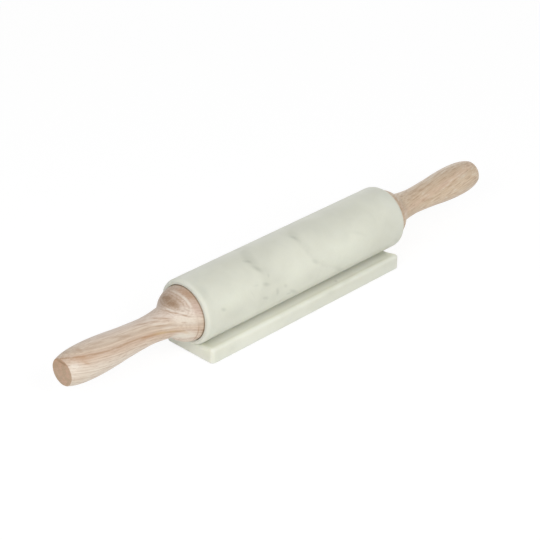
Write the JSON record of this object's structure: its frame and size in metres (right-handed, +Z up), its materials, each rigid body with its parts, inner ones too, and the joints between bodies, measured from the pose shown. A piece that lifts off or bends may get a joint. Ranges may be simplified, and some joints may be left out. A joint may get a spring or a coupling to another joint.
{
  "type": "rolling pin",
  "caption": "Rolling pin with a smooth stone barrel turning on an axle between two turned wooden handles, lying in a shallow stone cradle.",
  "frame": {"origin": "on the surface it stands on, under the middle of the cradle", "axes": "+X along the pin, +Y across it, +Z up"},
  "size_m": [0.52, 0.06, 0.0734],
  "materials": {
    "marble": "honed pale marble with faint grey veins",
    "wood": "smooth turned light hardwood, unvarnished",
    "steel": "plain steel",
    "brass": "machined brass",
    "nylon": "natural nylon",
    "rubber": "matt translucent rubber"
  },
  "bodies": {
    "base": {"cradle": "marble", "pad_1": "rubber", "pad_2": "rubber", "pad_3": "rubber", "pad_4": "rubber"},
    "axle": {"axle_rod": "steel", "handle_left": "wood", "handle_right": "wood", "insert_left": "brass", "insert_right": "brass", "nut_left": "steel", "nut_right": "steel", "washer_left": "steel", "washer_right": "steel"},
    "barrel": {"barrel": "marble", "bush_left": "nylon", "bush_right": "nylon"}
  },
  "joints": [
    {"name": "pin_lift", "type": "slide", "parent": "base", "child": "axle", "axis": [0, 0, 1], "range_m": [0, 0.12]},
    {"name": "barrel_spin", "type": "hinge", "parent": "axle", "child": "barrel", "pos_m": [0, 0, 0.04344], "axis": [1, 0, 0], "continuous": true}
  ]
}
